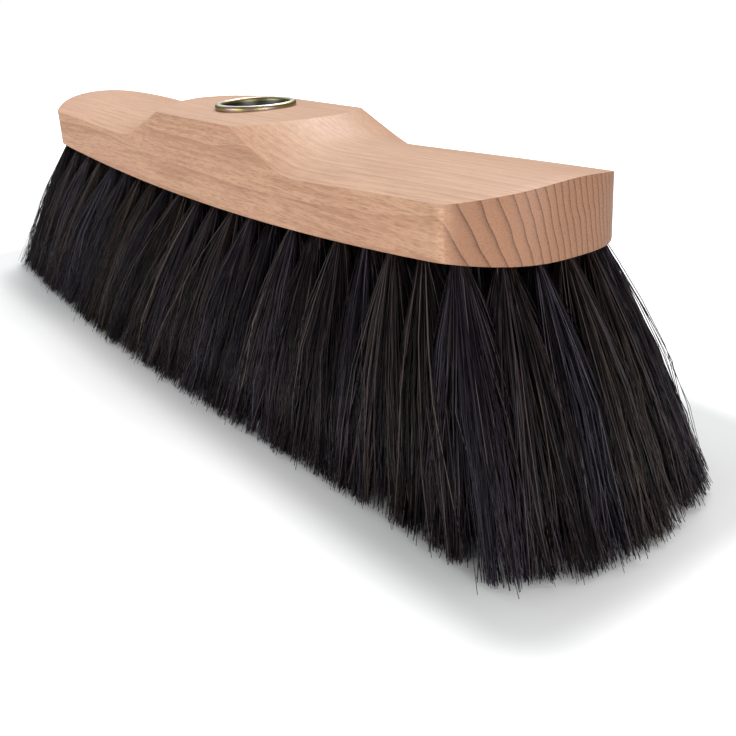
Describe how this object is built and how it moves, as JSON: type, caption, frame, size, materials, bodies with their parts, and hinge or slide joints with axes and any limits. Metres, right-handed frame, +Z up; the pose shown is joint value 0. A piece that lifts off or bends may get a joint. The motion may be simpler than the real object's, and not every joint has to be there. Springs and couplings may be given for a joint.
{
  "type": "horsehair broom head",
  "caption": "Saddle-shaped beech broom head with a screw socket for a handle and crosswise rows of flared dark horsehair.",
  "frame": {"origin": "on the floor under the middle of the broom head, in the plane of the hair tips", "axes": "+X along the block, +Y across it, +Z up toward the handle socket"},
  "size_m": [0.3578, 0.0974, 0.085],
  "materials": {
    "beech": "sanded, unvarnished beech",
    "zinc_steel": "yellow-passivated zinc",
    "horsehair": "dressed black horsehair"
  },
  "bodies": {
    "root": {"block": "beech", "handle_socket": "zinc_steel", "tuft_row_01": "horsehair", "tuft_row_02": "horsehair", "tuft_row_03": "horsehair", "tuft_row_04": "horsehair", "tuft_row_05": "horsehair", "tuft_row_06": "horsehair", "tuft_row_07": "horsehair", "tuft_row_08": "horsehair", "tuft_row_09": "horsehair", "tuft_row_10": "horsehair", "tuft_row_11": "horsehair", "tuft_row_12": "horsehair", "tuft_row_13": "horsehair", "tuft_row_14": "horsehair", "tuft_row_15": "horsehair", "tuft_row_16": "horsehair", "tuft_row_17": "horsehair", "tuft_row_18": "horsehair", "tuft_row_19": "horsehair", "tuft_row_20": "horsehair", "tuft_row_21": "horsehair", "tuft_row_22": "horsehair"}
  },
  "joints": []
}
